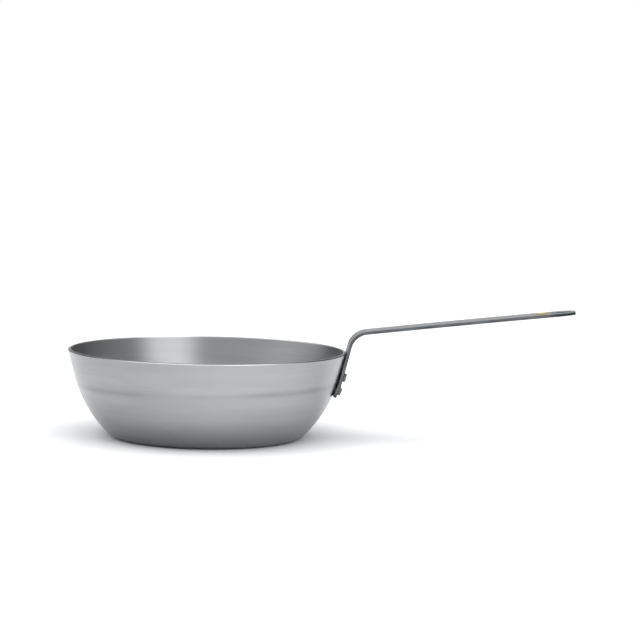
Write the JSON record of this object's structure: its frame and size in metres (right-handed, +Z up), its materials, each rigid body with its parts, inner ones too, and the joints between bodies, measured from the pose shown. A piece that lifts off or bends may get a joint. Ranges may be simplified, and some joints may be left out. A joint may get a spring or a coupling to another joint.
{
  "type": "frying pan",
  "caption": "Deep country frying pan: a pressed steel bowl with straight flared walls and a flat base, and a long flat strap handle riveted to its side.",
  "frame": {"origin": "centre of the bowl's flat underside", "axes": "+Z up along the bowl's axis, +X along the handle, +Y to the left of someone looking along the handle"},
  "size_m": [0.5117, 0.2798, 0.1335],
  "materials": {
    "bowl_steel": "bare pressed carbon steel, satin, with faint turning rings",
    "strap_steel": "bent carbon steel strip, satin faces, darker sheared edges",
    "rivet_steel": "cold-headed plain steel, dull",
    "inlay_resin": "moulded yellow resin, semi-matt"
  },
  "bodies": {
    "root": {"pan_body": "bowl_steel", "handle_strap": "strap_steel", "rivet_upper": "rivet_steel", "rivet_lower_front": "rivet_steel", "rivet_lower_rear": "rivet_steel", "handle_inlay": "inlay_resin"}
  },
  "joints": []
}
